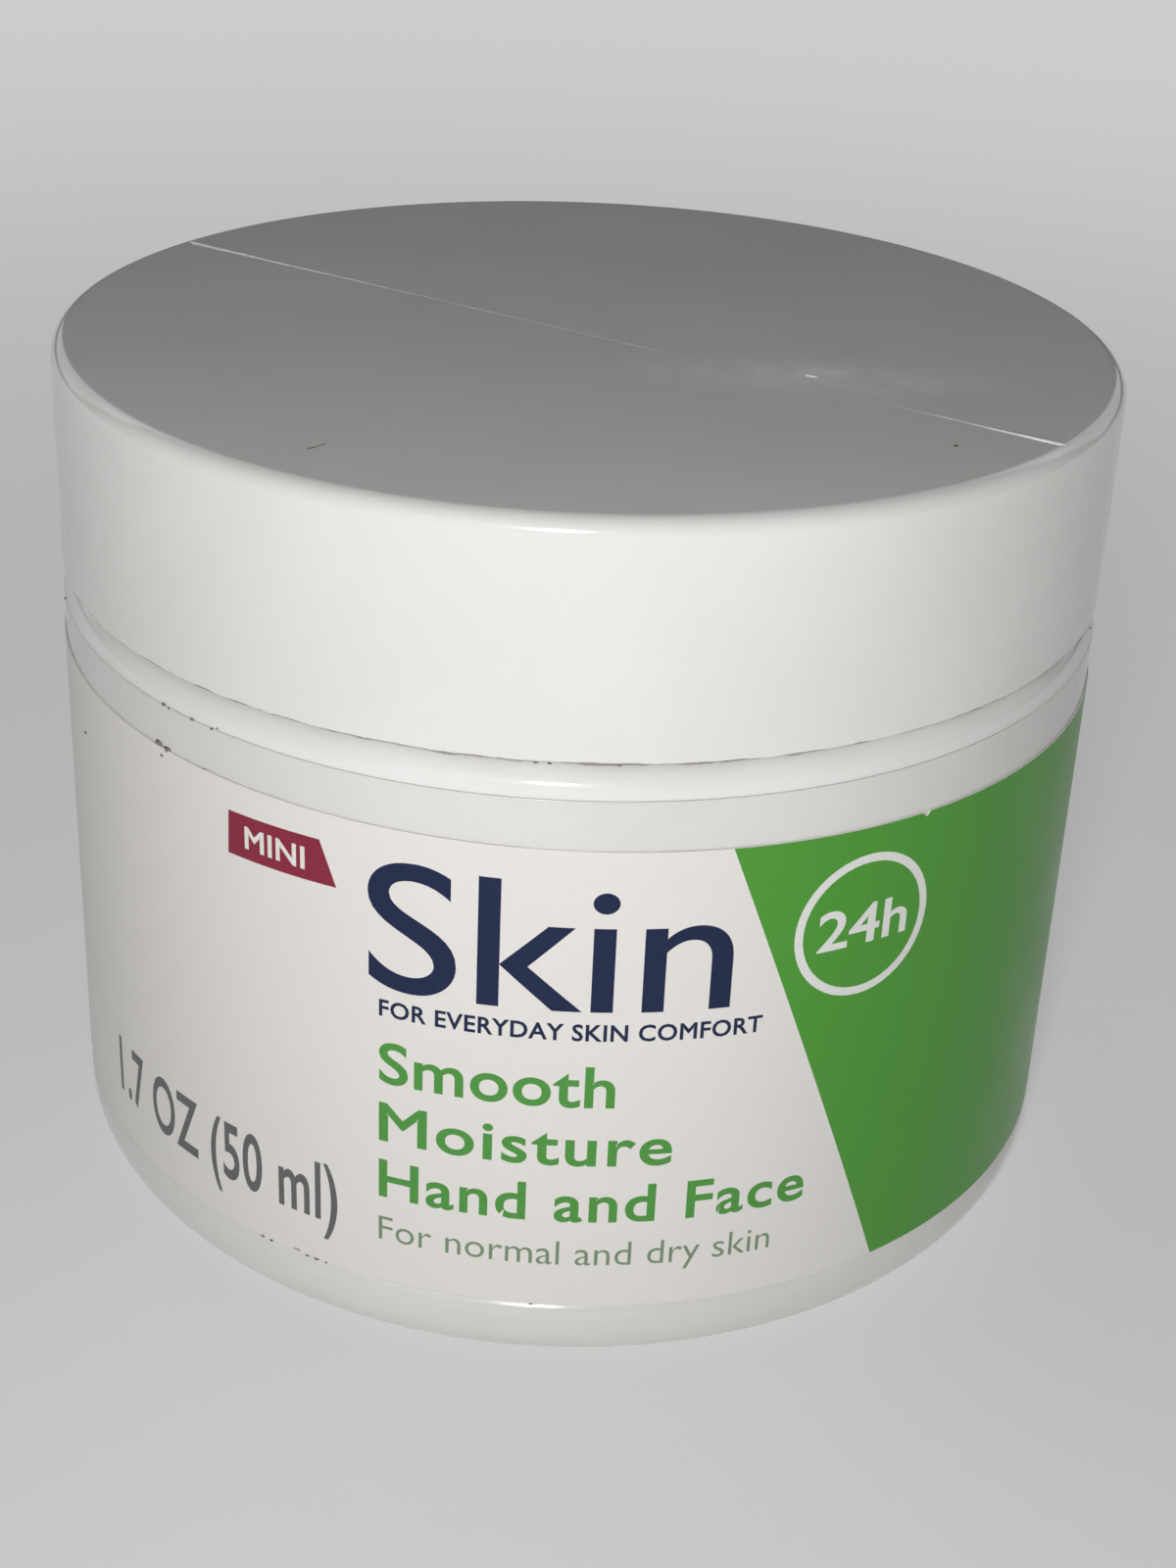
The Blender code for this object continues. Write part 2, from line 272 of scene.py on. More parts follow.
def bump(tree, shader, height, depth_mm, strength=1.0, under=None):
    node = tree.nodes.new("ShaderNodeBump")
    node.inputs["Distance"].default_value = depth_mm * MM
    node.inputs["Strength"].default_value = strength
    tree.links.new(height, node.inputs["Height"])
    if under:
        tree.links.new(under, node.inputs["Normal"])
    tree.links.new(node.outputs["Normal"], shader.inputs["Normal"])
    return node.outputs["Normal"]


def axis_height(tree, axis):
    """One object coordinate in millimetres."""
    split = tree.nodes.new("ShaderNodeSeparateXYZ")
    tree.links.new(coordinates(tree), split.inputs["Vector"])
    return split.outputs[axis]


def distance_from(tree, point, stretch=(1, 1, 1)):
    """Distance in millimetres from a point on the piece, shorter along a stretched axis."""
    node = tree.nodes.new("ShaderNodeVectorMath")
    node.operation = "DISTANCE"
    tree.links.new(coordinates(tree, stretch), node.inputs[0])
    node.inputs[1].default_value = [c * s / MM for c, s in zip(point, stretch)]
    return node.outputs["Value"]


def from_axis(tree):
    """Distance from the jar's axis in millimetres."""
    return distance_from(tree, (0, 0, 0), (1, 1, 0))


def up_axis(tree):
    """Height in millimetres."""
    return axis_height(tree, "Z")


def along_label(tree):
    """Height in millimetres, tilted as the label is."""
    lift = math_node(tree, "MULTIPLY", axis_height(tree, "X"), math.tan(math.radians(LABEL_TILT)))
    return math_node(tree, "ADD", up_axis(tree), lift)


def shade_and_grime_band(tree, tint, coordinate, low, high, soft, amount):
    """A darker band of painted shade and grime where a coordinate lies from low to high, which are
    in metres, with an uneven edge.
    """
    uneven = remap(tree, noise(tree, 0.5, 4), 0.3, 0.7, -soft / MM, soft / MM)
    place = math_node(tree, "ADD", coordinate, uneven)
    above = remap(tree, place, (low - soft) / MM, low / MM, 0.0, 1.0)
    below = remap(tree, place, high / MM, (high + soft) / MM, 1.0, 0.0)
    patches = remap(tree, noise(tree, 0.13, 3), 0.35, 0.65, 0.5 * amount, amount)
    band = math_node(tree, "MULTIPLY", math_node(tree, "MULTIPLY", above, below), patches)
    # a dark brown that stands for grime and for painted shade in seams and under edges
    return blend_colors(tree, band, tint, (0.16, 0.14, 0.12))


def white_plastic(name, color, shadow_color, gloss, shade_and_grime=(), smudges=()):
    """Moulded polypropylene: faint mottle, orange peel, rubbed gloss, and darker bands of painted
    shade and grime at its seams and edges.
    """
    material, tree, shader = new_material(name)
    mottle = remap(tree, noise(tree, 0.09, 4), 0.3, 0.7, 0.0, 1.0)
    tint = blend_colors(tree, mottle, color, shadow_color)
    # each band darkens the tint: painted shade in seams and under edges, with some grime
    for measure, low, high, soft, amount in shade_and_grime:
        tint = shade_and_grime_band(tree, tint, measure(tree), low, high, soft, amount)
    rubbed = remap(tree, noise(tree, 0.16, 4), 0.35, 0.75, gloss - 0.02, gloss + 0.05)
    for point, reach in smudges:
        near = remap(tree, distance_from(tree, point, (0.5, 1.4, 1)), 0.0, reach / MM, 1.0, 0.0)
        uneven = remap(tree, noise(tree, 0.35, 3), 0.3, 0.7, 0.2, 1.0)
        haze = math_node(tree, "MULTIPLY", near, uneven)
        rubbed = math_node(tree, "ADD", rubbed, math_node(tree, "MULTIPLY", haze, 0.2))
        tint = blend_colors(tree, haze, tint, (0.93, 0.93, 0.92))
    tree.links.new(tint, shader.inputs["Base Color"])
    tree.links.new(rubbed, shader.inputs["Roughness"])
    shader.inputs["IOR"].default_value = 1.49
    shader.inputs["Subsurface Weight"].default_value = 0.12
    shader.inputs["Subsurface Radius"].default_value = (1.0, 0.85, 0.7)
    shader.inputs["Subsurface Scale"].default_value = 1.2 * MM
    sink = bump(tree, shader, noise(tree, 0.05, 1), 0.12, 0.5)
    bump(tree, shader, noise(tree, 1.3, 2), 0.0016, 1.0, sink)
    return material


def film_ink(name, color, worn_color, gloss):
    """Printed label film: a fine print grain, slight rub, and a satin lacquer."""
    material, tree, shader = new_material(name)
    grain = remap(tree, noise(tree, 6.0, 2), 0.35, 0.65, 0.0, 0.5)
    rub = remap(tree, noise(tree, 0.2, 2), 0.5, 0.8, 0.0, 0.6)
    mix = math_node(tree, "MAXIMUM", grain, rub)
    tree.links.new(blend_colors(tree, mix, color, worn_color), shader.inputs["Base Color"])
    rubbed = remap(tree, noise(tree, 0.12, 2), 0.3, 0.7, gloss - 0.03, gloss + 0.04)
    tree.links.new(rubbed, shader.inputs["Roughness"])
    shader.inputs["IOR"].default_value = 1.47
    shader.inputs["Specular IOR Level"].default_value = 0.25
    waves = bump(tree, shader, noise(tree, 0.12, 1, (1, 1, 0.6)), 0.05, 0.15)
    bump(tree, shader, noise(tree, 5.0, 2), 0.0006, 1.0, waves)
    return material


def foam():
    material, tree, shader = new_material("foam_wad")
    cells = tree.nodes.new("ShaderNodeTexVoronoi")
    cells.inputs["Scale"].default_value = 4.0
    tree.links.new(coordinates(tree), cells.inputs["Vector"])
    shade = remap(tree, cells.outputs["Distance"], 0.0, 0.6, 0.0, 1.0)
    tint = blend_colors(tree, shade, (0.78, 0.78, 0.75), (0.90, 0.90, 0.88))
    tree.links.new(tint, shader.inputs["Base Color"])
    shader.inputs["Roughness"].default_value = 0.75
    bump(tree, shader, shade, 0.03, 0.8)
    return material


def balm_wax():
    """A soft opaque ointment, glossy where it has set smooth."""
    material, tree, shader = new_material("balm_wax")
    cloud = remap(tree, noise(tree, 0.12, 4), 0.3, 0.7, 0.0, 1.0)
    tint = blend_colors(tree, cloud, (0.86, 0.82, 0.70), (0.82, 0.76, 0.60))
    tree.links.new(tint, shader.inputs["Base Color"])
    rubbed = remap(tree, noise(tree, 0.5, 4), 0.3, 0.7, 0.22, 0.42)
    tree.links.new(rubbed, shader.inputs["Roughness"])
    shader.inputs["Subsurface Weight"].default_value = 0.35
    shader.inputs["Subsurface Radius"].default_value = (1.0, 0.8, 0.5)
    shader.inputs["Subsurface Scale"].default_value = 2.0 * MM
    bump(tree, shader, noise(tree, 0.25, 2), 0.05, 0.5)
    return material


def crumb_dirt():
    material, tree, shader = new_material("seam_dirt")
    shade = remap(tree, noise(tree, 3.0, 3), 0.3, 0.7, 0.0, 1.0)
    tint = blend_colors(tree, shade, (0.10, 0.08, 0.06), (0.30, 0.26, 0.22))
    tree.links.new(tint, shader.inputs["Base Color"])
    shader.inputs["Roughness"].default_value = 0.85
    bump(tree, shader, shade, 0.02)
    return material


def clear_edge():
    """The thin bright edge of the line across the lid."""
    material, tree, shader = new_material("lid_line")
    shade = remap(tree, noise(tree, 1.2, 3, (0.3, 1, 1)), 0.35, 0.65, 0.0, 1.0)
    tint = blend_colors(tree, shade, (0.92, 0.92, 0.91), (0.75, 0.75, 0.74))
    tree.links.new(tint, shader.inputs["Base Color"])
    shader.inputs["Roughness"].default_value = 0.22
    bump(tree, shader, noise(tree, 4.0, 2), 0.01)
    return material


# ---------------------------------------------------------------- threads

def thread_bump(start_z, low_z, high_z):
    """Height of a helical ridge at an angle and height. start_z is the helix's height at angle 0."""
    root_half = THREAD_ROOT_WIDTH / 2
    crest_half = THREAD_CREST_WIDTH / 2
    fade_length = 0.3 * MM

    def height(angle, z):
        base = start_z + THREAD_LEAD * angle / math.tau
        tallest = 0.0
        for turn in range(-4, 5):
            center = base + turn * THREAD_LEAD
            if not low_z <= center <= high_z:
                continue
            fade = min(1.0, (center - low_z) / fade_length, (high_z - center) / fade_length)
            slope = (root_half - abs(z - center)) / (root_half - crest_half)
            level = min(1.0, max(0.0, slope))
            tallest = max(tallest, fade * THREAD_HEIGHT * level * level * (3 - 2 * level))
        return tallest

    return height


neck_thread_low = body_top_z + THREAD_MARGIN + THREAD_ROOT_WIDTH / 2
neck_thread_high = rim_z - THREAD_MARGIN - THREAD_ROOT_WIDTH / 2
thread_drop = (THREAD_ROOT_WIDTH + THREAD_CREST_WIDTH) / 2 + THREAD_PLAY


# ---------------------------------------------------------------- jar body

def build_shell(material):
    """The outer wall, with a bead at the foot, a ring to stand on and a gate mark under the base."""
    top = parting_z - PARTING_GAP
    foot_radius = body_radius + FOOT_PROUD
    foot_outer = foot_radius - BASE_FILLET
    foot_inner = foot_outer - FOOT_WIDTH
    bore = body_radius - SHELL_WALL
    gate = 1.6 * MM
    gate_z = FOOT_RECESS + 0.3 * MM
    groove_z = label_low.z - 0.25 * MM
    bead_lean = math.radians(45)
    bead_z = groove_z - (GROOVE_DEPTH + FOOT_PROUD) / math.tan(bead_lean)
    profile = rounded([
        (0.0, BASE_THICKNESS),
        (bore, BASE_THICKNESS, BASE_CORNER),
        (bore, top),
        (body_radius, top, EDGE_FILLET),
        (body_radius, label_low.z - 0.05 * MM),
        (body_radius - GROOVE_DEPTH, groove_z),
        (foot_radius, bead_z, FOOT_BEAD),
        (foot_radius, 0.0, BASE_FILLET),
        (foot_inner, 0.0, 0.4 * MM),
        (foot_inner - FOOT_RECESS, FOOT_RECESS, 0.4 * MM),
        (gate * 2, FOOT_RECESS, 0.3 * MM),
        (gate, gate_z, 0.3 * MM),
        (0.0, gate_z),
    ])
    shell = lathe("jar_shell", profile, material, "jar")
    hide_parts("outer_shell")


def build_cup(material):
    """The bowl, its threaded neck, the shoulder under the lid and the plug in the shell."""
    floor = rim_z - (cup_high.z - cup_low.z) + CUP_WALL
    cup_radius = cup_bore + CUP_WALL
    shoulder = body_radius - SHOULDER_SET_IN
    plug = body_radius - SHELL_WALL - PLUG_FIT
    under = body_top_z - SHOULDER_THICKNESS
    thread_top = rim_z - 1.0 * MM
    thread_foot = body_top_z + 0.4 * MM
    inside = rounded([
        (0.0, floor),
        (cup_bore, floor, CUP_FILLET),
        (cup_bore, rim_z, RIM_FILLET),
        (neck_radius, rim_z, RIM_FILLET),
        (neck_radius, thread_top),
    ])
    neck = dense(thread_top, thread_foot, neck_radius, ROW_STEP)
    outside = rounded([
        (neck_radius, thread_foot),
        (neck_radius, body_top_z, 0.3 * MM),
        (shoulder, body_top_z, SHOULDER_FILLET),
        (shoulder, parting_z, 0.03 * MM),
        (plug, parting_z, PLUG_CORNER),
        (plug, parting_z - PLUG_LENGTH, PLUG_CORNER),
        (plug - PLUG_WALL, parting_z - PLUG_LENGTH, PLUG_CORNER),
        (plug - PLUG_WALL, under, 0.4 * MM),
        (cup_radius, under, 0.4 * MM),
        (cup_radius, floor - CUP_WALL, CUP_FILLET + CUP_WALL),
        (0.0, floor - CUP_WALL),
    ])
    ridge = thread_bump(neck_thread_low, neck_thread_low, neck_thread_high)
    neck_low = body_top_z + 0.35 * MM

    def offset(angle, r, z):
        on_neck = abs(r - neck_radius) < 0.01 * MM and neck_low < z < rim_z - 0.7 * MM
        return ridge(angle, z) if on_neck else 0.0

    cup = lathe("cup_and_neck", inside + neck[1:] + outside[1:], material, "jar", offset)
    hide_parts("inner_cup")


def build_balm(material):
    """The filling, level but for a sunk middle, a filling nozzle's faint swirl and a meniscus."""
    radius = cup_bore - 0.03 * MM
    bottom = balm_low.z
    surface = balm_high.z
    steps = 60
    profile = []
    for i in range(steps + 1):
        r = radius * i / steps
        climb = max(0.0, 1 - (radius - r) / MENISCUS_WIDTH)
        dip = BALM_DIP * (1 - (r / radius) ** 2)
        profile.append(Vector((r, surface - dip + MENISCUS_HEIGHT * climb ** 3)))
    profile += rounded([
        (radius, surface + 0.6 * MM),
        (radius, bottom, CUP_FILLET),
        (0.0, bottom),
    ])

    def swirl(angle, r):
        ripple = math.cos(math.tau * r / SWIRL_STEP - angle)
        near_wall = min(1.0, (radius - r) / (3.0 * MM))
        near_middle = min(1.0, r / (2.0 * MM))
        return SWIRL_HEIGHT * ripple * near_wall * near_middle * math.exp(-r / (24 * MM))

    balm = lathe("balm_fill", profile, material, "jar")
    for vertex in balm.data.vertices:
        r = math.hypot(vertex.co.x, vertex.co.y)
        if vertex.co.z > surface - 1.2 * MM and r < radius * 0.999:
            vertex.co.z += swirl(math.atan2(vertex.co.y, vertex.co.x), r)
    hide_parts("balm")


# ---------------------------------------------------------------- lid

def build_lid(material):
    """The overcap: a plain cylinder with a flat top."""
    under = lid_high.z - LID_TOP_THICKNESS
    profile = rounded([
        (0.0, lid_high.z),
        (lid_radius, lid_high.z, LID_TOP_FILLET),
        (lid_radius, lid_low.z, 0.08 * MM),
        (lid_bore, lid_low.z, 0.14 * MM),
        (lid_bore, under, 0.6 * MM),
        (0.0, under),
    ])
    lid = lathe("lid_overcap", profile, material, "lid")
    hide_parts("lid_shell")


def build_inner_cap(material):
    """The threaded cap inside the overcap, with a bead under the wad."""
    top = cap_high.z
    bottom = cap_low.z
    under = top - CAP_TOP_THICKNESS
    bead = wad_low.z - CAP_BEAD_GAP
    bead_foot = bead - CAP_BEAD
    wall_low = bottom + 0.25 * MM
    wall_high = bead_foot - 0.2 * MM
    outside = rounded([
        (0.0, top),
        (cap_radius, top, 0.6 * MM),
        (cap_radius, bottom, 0.2 * MM),
        (cap_bore, bottom, 0.2 * MM),
        (cap_bore, wall_low),
    ])
    wall = dense(wall_low, wall_high, cap_bore, ROW_STEP)
    inside = rounded([
        (cap_bore, wall_high),
        (cap_bore, bead_foot),
        (cap_bore - CAP_BEAD, bead - CAP_BEAD / 2, 0.15 * MM),
        (cap_bore, bead),
        (cap_bore, under, 0.2 * MM),
        (0.0, under),
    ])
    low = bottom + THREAD_MARGIN / 2 + THREAD_ROOT_WIDTH / 2
    high = bead_foot - THREAD_MARGIN / 2 - THREAD_ROOT_WIDTH / 2
    ridge = thread_bump(neck_thread_low - thread_drop, low, high)

    def offset(angle, r, z):
        on_wall = abs(r - cap_bore) < 0.01 * MM and bottom + 0.21 * MM < z < bead_foot - 0.01 * MM
        return -ridge(angle, z) if on_wall else 0.0

    cap = lathe("threaded_cap", outside + wall[1:] + inside[1:], material, "lid", offset)
    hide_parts("inner_cap")


def build_wad(material):
    """The foam wad, with the ring that the cup's rim has pressed into it."""
    middle = neck_radius - NECK_WALL / 2
    low = wad_low.z
    profile = rounded([
        (0.0, wad_high.z),
        (wad_high.x, wad_high.z, 0.2 * MM),
        (wad_high.x, low, 0.2 * MM),
        (middle + 1.0 * MM, low, 0.3 * MM),
        (middle + 0.7 * MM, low + WAD_IMPRINT, 0.3 * MM),
        (middle - 0.7 * MM, low + WAD_IMPRINT, 0.3 * MM),
        (middle - 1.0 * MM, low, 0.3 * MM),
        (0.0, low),
    ])
    wad = lathe("foam_disc", profile, material, "liner")
    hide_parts("lid_liner")


# ---------------------------------------------------------------- label art

LABEL_COLUMN = 1.0  # degrees between the columns of the label's grid
CAP_SHARE = 0.682  # height of a capital as a share of the font's size

# s runs round the label from the front, to the right; z is above the base. Millimetres.
label_s_low = -math.pi * label_high.x / MM
label_s_high = math.radians(360 * 63 / 64) * label_high.x / MM + label_s_low
label_z_low = label_low.z / MM
label_z_high = label_high.z / MM

PAPER, GREEN, NAVY, MAROON, LEAF, PALE_LEAF, GREY, WHITE_INK = range(8)


def text_edges(words, left, baseline, width, cap_height, weight=0.0, spread=1.0):
    """Outline edges of a line of plain lettering, as pairs of points."""
    curve = bpy.data.curves.new("lettering", "FONT")
    curve.body = words
    curve.size = cap_height / CAP_SHARE
    curve.offset = weight
    curve.space_character = spread
    curve.resolution_u = 12 if cap_height > 5 else 6 if cap_height > 2 else 3
    holder = bpy.data.objects.new("lettering", curve)
    bpy.context.scene.collection.objects.link(holder)
    bpy.context.view_layer.update()
    graph = bpy.context.evaluated_depsgraph_get()
    mesh = bpy.data.meshes.new_from_object(holder.evaluated_get(graph))
    bpy.data.objects.remove(holder)
    shape = bmesh.new()
    shape.from_mesh(mesh)
    bmesh.ops.remove_doubles(shape, verts=shape.verts, dist=0.002)
    xs = [v.co.x for v in shape.verts]
    scale = width / (max(xs) - min(xs))
    edges = []
    for edge in shape.edges:
        if len(edge.link_faces) == 1:
            ends = [(left + (v.co.x - min(xs)) * scale, baseline + v.co.y) for v in edge.verts]
            edges.append(tuple(ends))
    shape.free()
    bpy.data.meshes.remove(mesh)
    return edges


def loop_edges(points):
    return [(points[i], points[(i + 1) % len(points)]) for i in range(len(points))]


def bar_edges(left, low, width, height):
    right, high = left + width, low + height
    return loop_edges([(left, low), (right, low), (right, high), (left, high)])


def circle_edges(center_s, center_z, radius, count=48):
    turns = [math.tau * i / count for i in range(count)]
    return loop_edges([
        (center_s + radius * math.cos(a), center_z + radius * math.sin(a)) for a in turns])


def small_print(left, top, width, lines, step, height, seed):
    """Lines of word-shaped bars, for print too small to read."""
    random = np.random.default_rng(seed)
    edges = []
    for line in range(lines):
        s = left
        end = left + width * (0.6 if line == lines - 1 else random.uniform(0.9, 1.0))
        while s < end - 1.0:
            word = min(random.uniform(0.9, 3.4), end - s)
            edges += bar_edges(s, top - line * step - height, word, height)
            s += word + 0.35
    return edges


def barcode(left, low, width, height, seed):
    random = np.random.default_rng(seed)
    edges = []
    s = left
    while s < left + width - 0.6:
        bar = random.choice([0.25, 0.25, 0.5, 0.75])
        edges += bar_edges(s, low, bar, height)
        s += bar + random.choice([0.25, 0.25, 0.5])
    return edges


def label_layers():
    """The print in order, later over earlier: (ink, outline edges).

    The values after the words are left, baseline, width, capital height, weight and spread.
    """
    green_end = 66.0
    above, below = label_z_high + 1, label_z_low - 1
    slant = [(8.1, above), (20.1, below), (green_end, below), (green_end, above)]
    flag = [(-19.2, 32.1), (-13.3, 32.2), (-12.3, 29.6), (-19.3, 29.5)]
    return [
        (GREEN, loop_edges(slant)),
        (MAROON, loop_edges(flag)),
        (PAPER, text_edges("MINI", -18.1, 30.2, 3.9, 1.25, 0.04, 1.05)),
        (NAVY, text_edges("Skin", -10.5, 24.3, 19.4, 7.6, 0.03)),
        (NAVY, text_edges("FOR EVERYDAY SKIN COMFORT", -9.85, 22.5, 20.7, 0.98, 0.03, 1.05)),
        (LEAF, text_edges("Smooth", -9.85, 18.3, 12.85, 2.5, 0.06, 1.05)),
        (LEAF, text_edges("Moisture", -9.85, 14.5, 16.15, 2.4, 0.06, 1.1)),
        (LEAF, text_edges("Hand and Face", -9.85, 10.75, 24.2, 2.4, 0.06, 1.08)),
        (PALE_LEAF, text_edges("For normal and dry skin", -9.85, 7.75, 22.3, 1.6, -0.008)),
        (GREY, text_edges("1.7 OZ (50 ml)", -31.6, 7.9, 19.2, 3.7, 0.09, 1.05)),
        (WHITE_INK, circle_edges(16.6, 27.9, 4.3) + circle_edges(16.6, 27.9, 3.8)),
        (WHITE_INK, text_edges("24h", 13.7, 26.8, 5.8, 2.3, 0.05)),
        (WHITE_INK, small_print(48.0, 30.5, 15.0, 15, 1.0, 0.3, 3)),
        (GREY, small_print(-68.0, 31.0, 21.0, 22, 1.0, 0.3, 5)),
        (GREY, small_print(-93.0, 31.0, 20.0, 11, 1.0, 0.3, 6)),
        (NAVY, barcode(-91.0, 8.0, 17.0, 9.0, 7)),
        (GREY, small_print(69.0, 31.0, 20.0, 23, 1.0, 0.3, 8)),
    ]


def inside(points, edges):
    """Which points lie inside closed outlines, by the even-odd rule."""
    ends = np.array(edges, float)
    low_s, high_s = ends[:, :, 0].min(), ends[:, :, 0].max()
    low_z, high_z = ends[:, :, 1].min(), ends[:, :, 1].max()
    found = np.zeros(len(points), bool)
    across, up = points.T
    near = np.nonzero((across > low_s) & (across < high_s) & (up > low_z) & (up < high_z))[0]
    if len(near) == 0:
        return found
    s, z = points[near, 0][:, None], points[near, 1][:, None]
    (s0, z0), (s1, z1) = ends[:, 0].T, ends[:, 1].T
    crosses = (z0 > z) != (z1 > z)
    with np.errstate(divide="ignore", invalid="ignore"):
        at = s0 + (z - z0) * (s1 - s0) / (z1 - z0)
    found[near] = (np.sum(crosses & (at > s), axis=1) % 2) == 1
    return found


def label_outline():
    """The film's own edge, with a nick in its top and a lifted fibre's nick in its bottom."""
    top = [(20.4, 0.0), (20.2, -0.28), (19.95, -0.1), (19.8, 0.0)]
    bottom = [(-15.5, 0.0), (-15.3, 0.16), (-15.0, 0.22), (-14.8, 0.0)]
    points = [(label_s_low, label_z_low)]
    points += [(s, label_z_low + z) for s, z in bottom]
    points += [(label_s_high, label_z_low), (label_s_high, label_z_high)]
    points += [(s, label_z_high + z) for s, z in top]
    points += [(label_s_low, label_z_high)]
    return points


def build_label(inks):
    """One thin film whose outer face is cut along the print, and each cut face takes its ink."""
    outline = loop_edges(label_outline())
    layers = label_layers()
    column = math.radians(LABEL_COLUMN) * label_high.x / MM
    columns = np.arange(label_s_low, label_s_high, column)[1:]
    grid = [((s, label_z_low - 1.5), (s, label_z_high + 1.5)) for s in columns]
    points, pairs = [], []
    for edge in outline + grid + [edge for _, edges in layers for edge in edges]:
        pairs.append((len(points), len(points) + 1))
        points += [Vector(edge[0]), Vector(edge[1])]
    flat, _, triangles, _, _, _ = delaunay_2d_cdt(points, pairs, [], 0, 1e-4)
    flat = np.array([tuple(p) for p in flat])
    triangles = np.array([t for t in triangles if len(t) == 3])
    centers = flat[triangles].mean(axis=1)
    kept = inside(centers, outline)
    triangles, centers = triangles[kept], centers[kept]
    ink = np.full(len(triangles), PAPER)
    for color, edges in layers:
        ink[inside(centers, edges)] = color

    used, packed = np.unique(triangles, return_inverse=True)
    triangles = packed.reshape(-1, 3)
    flat = flat[used]
    count = len(flat)
    outer_radius = body_radius + LABEL_THICKNESS
    vertices = []
    for radius in (outer_radius, body_radius + 0.012 * MM):
        for s, z in flat:
            angle = s * MM / label_high.x
            tilt = -math.tan(math.radians(LABEL_TILT)) * radius * math.sin(angle)
            vertices.append((radius * math.sin(angle), -radius * math.cos(angle), z * MM + tilt))
    faces = [tuple(t) for t in triangles]
    first = flat[triangles[0]]
    turns_left = np.cross(first[1] - first[0], first[2] - first[0]) > 0
    if not turns_left:
        faces = [t[::-1] for t in faces]
    front = len(faces)
    rims = {}
    for a, b, c in faces:
        for edge in ((a, b), (b, c), (c, a)):
            rims[edge] = rims.get(edge, 0) + 1
    walls = [(b, a, a + count, b + count) for a, b in rims if (b, a) not in rims]
    faces += [tuple(i + count for i in reversed(t)) for t in faces]
    faces += walls
    label = new_piece("wrap_label", vertices, faces, None, "jar")
    for material in inks:
        label.data.materials.append(material)
    for i, color in enumerate(ink):
        label.data.polygons[i].material_index = int(color)
    label.data.shade_smooth()
    normals = []
    for polygon in label.data.polygons:
        for index in polygon.vertices:
            if polygon.index < front:
                x, y, _ = vertices[index]
                normals.append(Vector((x, y, 0)).normalized())
            else:
                normals.append(polygon.normal)
    label.data.normals_split_custom_set(normals)
    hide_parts("label")
    return label


# ---------------------------------------------------------------- small marks

def build_lid_line(material):
    """A fine raised line across the lid's top, nearly through its middle, widest at its ends."""
    random = np.random.default_rng(11)
    count = 150
    start = Vector((-0.838, 0.492)) * body_radius
    end = Vector((0.806, -0.557)) * body_radius
    along = (end - start).normalized()
    across = Vector((-along.y, along.x))
    wander = np.convolve(random.normal(0, 1, count + 9), np.ones(9) / 9, "valid")
    vertices, faces = [], []
    for i in range(count + 1):
        t = i / count
        from_end = min(t, 1 - t)
        ends = math.exp(-(t / 0.17) ** 2) + math.exp(-((1 - t) / 0.08) ** 2)
        taper = min(1.0, from_end / 0.006 + 0.15)
        sunk = 1 - 0.6 * math.exp(-((t - 0.72) / 0.11) ** 2)
        half = (0.035 + 0.20 * ends + 0.02 * wander[i]) * MM * taper * sunk
        tall = (0.02 + 0.08 * ends) * MM * taper * sunk
        middle = start + (end - start) * t + across * (0.06 * MM * wander[i])
        base = lid_high.z - 0.01 * MM
        section = ((half, 0.0), (half * 0.4, tall), (-half * 0.4, tall), (-half, 0.0))
        for side, up in section:
            place = middle + across * side
            vertices.append((place.x, place.y, base + up))
    for i in range(count):
        for j in range(4):
            k = (j + 1) % 4
            faces.append((4 * i + j, 4 * i + 4 + j, 4 * i + 4 + k, 4 * i + k))
    faces.append((0, 1, 2, 3))
    faces.append(tuple(4 * count + j for j in (3, 2, 1, 0)))
    line = new_piece("lid_line", vertices, faces, material, "lid")
    line.data.shade_smooth()


def jar_surface(z):
    """Radius of the jar's outside at a height, and how far the surface there leans back."""
    over = z - (body_top_z - SHOULDER_FILLET)
    if over > 0:
        lean = math.asin(min(1.0, over / SHOULDER_FILLET))
        return body_radius - SHOULDER_SET_IN - SHOULDER_FILLET * (1 - math.cos(lean)), lean
    return body_radius + (LABEL_THICKNESS if z < label_high.z else 0.0), 0.0


def add_speck(shape, random, place, turn, size):
    """One crumb. place and turn are those of its base, whose local -Y is away from the surface."""
    first = len(shape.verts)
    bmesh.ops.create_icosphere(shape, subdivisions=2, radius=0.5)
    shape.verts.ensure_lookup_table()
    for vertex in shape.verts[first:]:
        bumpy = 1 + 0.25 * random.uniform(-1, 1)
        local = Vector([c * s * bumpy for c, s in zip(vertex.co, size)])
        vertex.co = turn @ local + place


def finish_specks(name, shape, material, body):
    """Makes crumbs into one piece that rides on a body."""
    mesh = bpy.data.meshes.new(name)
    shape.to_mesh(mesh)
    shape.free()
    mesh.materials.append(material)
    mesh.shade_smooth()
    specks = bpy.data.objects.new(name, mesh)
    bpy.context.scene.collection.objects.link(specks)
    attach(specks, body)


